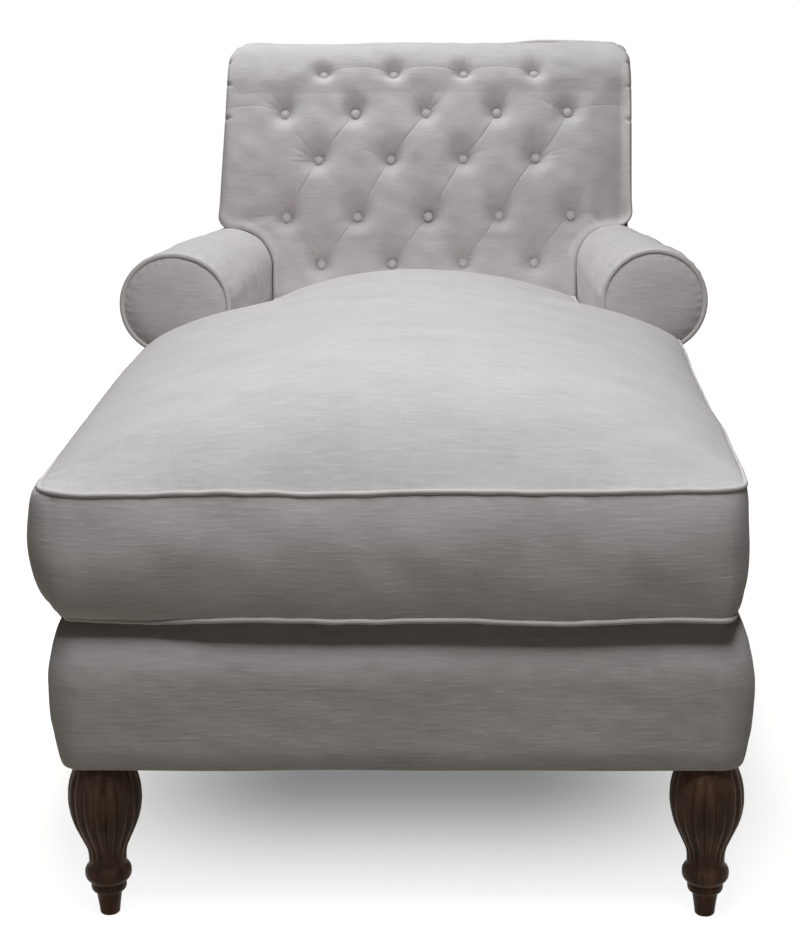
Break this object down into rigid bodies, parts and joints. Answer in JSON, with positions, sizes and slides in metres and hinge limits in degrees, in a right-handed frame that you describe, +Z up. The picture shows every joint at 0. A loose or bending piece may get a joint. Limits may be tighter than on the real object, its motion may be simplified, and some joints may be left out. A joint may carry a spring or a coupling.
{
  "type": "chaise longue",
  "caption": "Long upholstered chaise with a deep-buttoned leaning back, low rolled arms, a loose T-shaped seat cushion, a padded base border and turned, reeded front legs.",
  "frame": {"origin": "on the floor, under the middle of the bounding box", "axes": "+Z up, +Y from the foot end towards the back, +X to the right for someone who looks from the foot end at the back"},
  "size_m": [0.8292, 1.6588, 0.869],
  "materials": {
    "linen": "light warm-grey linen, plain weave with slubs",
    "welt": "the same linen over cord",
    "button": "the same linen over button blanks",
    "deck_cloth": "dark plain lining cloth",
    "leg_wood": "dark stained, satin varnish",
    "frame_wood": "raw sawn timber",
    "spring_steel": "plain drawn wire"
  },
  "bodies": {
    "base": {"arm_facing_left": "linen", "arm_facing_right": "linen", "arm_pad_left": "linen", "arm_pad_right": "linen", "arm_post_left": "frame_wood", "arm_post_right": "frame_wood", "arm_top_rail_left": "frame_wood", "arm_top_rail_right": "frame_wood", "arm_welt_left": "welt", "arm_welt_right": "welt", "back_button_a1": "button", "back_button_a2": "button", "back_button_a3": "button", "back_button_a4": "button", "back_button_b1": "button", "back_button_b2": "button", "back_button_b3": "button", "back_button_b4": "button", "back_button_b5": "button", "back_button_c1": "button", "back_button_c2": "button", "back_button_c3": "button", "back_button_c4": "button", "back_button_d1": "button", "back_button_d2": "button", "back_button_d3": "button", "back_button_d4": "button", "back_button_d5": "button", "back_button_e1": "button", "back_button_e2": "button", "back_button_e3": "button", "back_button_e4": "button", "back_pad": "linen", "back_post_left": "frame_wood", "back_post_right": "frame_wood", "back_tacking_rail": "frame_wood", "back_top_rail": "frame_wood", "back_welt": "welt", "base_border_front": "linen", "base_border_left": "linen", "base_border_rear": "linen", "base_border_right": "linen", "dust_cover": "deck_cloth", "front_leg_left": "leg_wood", "front_leg_right": "leg_wood", "front_rail": "frame_wood", "outside_back": "linen", "rear_leg_left": "leg_wood", "rear_leg_right": "leg_wood", "rear_rail": "frame_wood", "seat_deck": "deck_cloth", "seat_spring_1": "spring_steel", "seat_spring_2": "spring_steel", "seat_spring_3": "spring_steel", "seat_spring_4": "spring_steel", "side_rail_left": "frame_wood", "side_rail_right": "frame_wood"},
    "cushion": {"seat_cushion": "linen", "cushion_top_welt": "welt", "cushion_bottom_welt": "welt"}
  },
  "joints": [
    {"name": "cushion_lift", "type": "slide", "parent": "base", "child": "cushion", "axis": [0, 0, 1], "range_m": [0, 0.3]}
  ]
}
